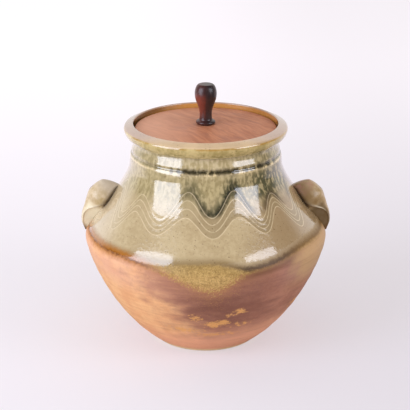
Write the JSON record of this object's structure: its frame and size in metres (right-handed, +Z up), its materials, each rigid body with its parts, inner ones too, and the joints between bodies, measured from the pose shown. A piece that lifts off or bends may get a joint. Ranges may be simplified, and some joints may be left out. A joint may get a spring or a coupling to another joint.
{
  "type": "lidded stoneware crock",
  "caption": "Round-bellied stoneware crock with a rolled rim, pulled side lugs and a combed wave band, closed by a loose wooden lid with a turned knob that lifts off.",
  "frame": {"origin": "centre of the foot, on the plane that the crock stands on", "axes": "+Z up the axis of the pot, X through the lugs, +X towards the right lug, -Y towards the front with the combed band's middle"},
  "size_m": [0.2958, 0.2888, 0.3119],
  "materials": {
    "stoneware": "glossy ash glaze above, bare toasted clay below",
    "lid_wood": "oiled",
    "knob_wood": "polished",
    "screw_brass": "plain"
  },
  "bodies": {
    "crock": {"crock_body": "stoneware", "left_lug": "stoneware", "right_lug": "stoneware"},
    "lid": {"lid_board": "lid_wood", "lid_knob": "knob_wood", "knob_screw": "screw_brass"}
  },
  "joints": [
    {"name": "lid_lift", "type": "slide", "parent": "crock", "child": "lid", "axis": [0, 0, 1], "range_m": [0, 0.25]}
  ]
}
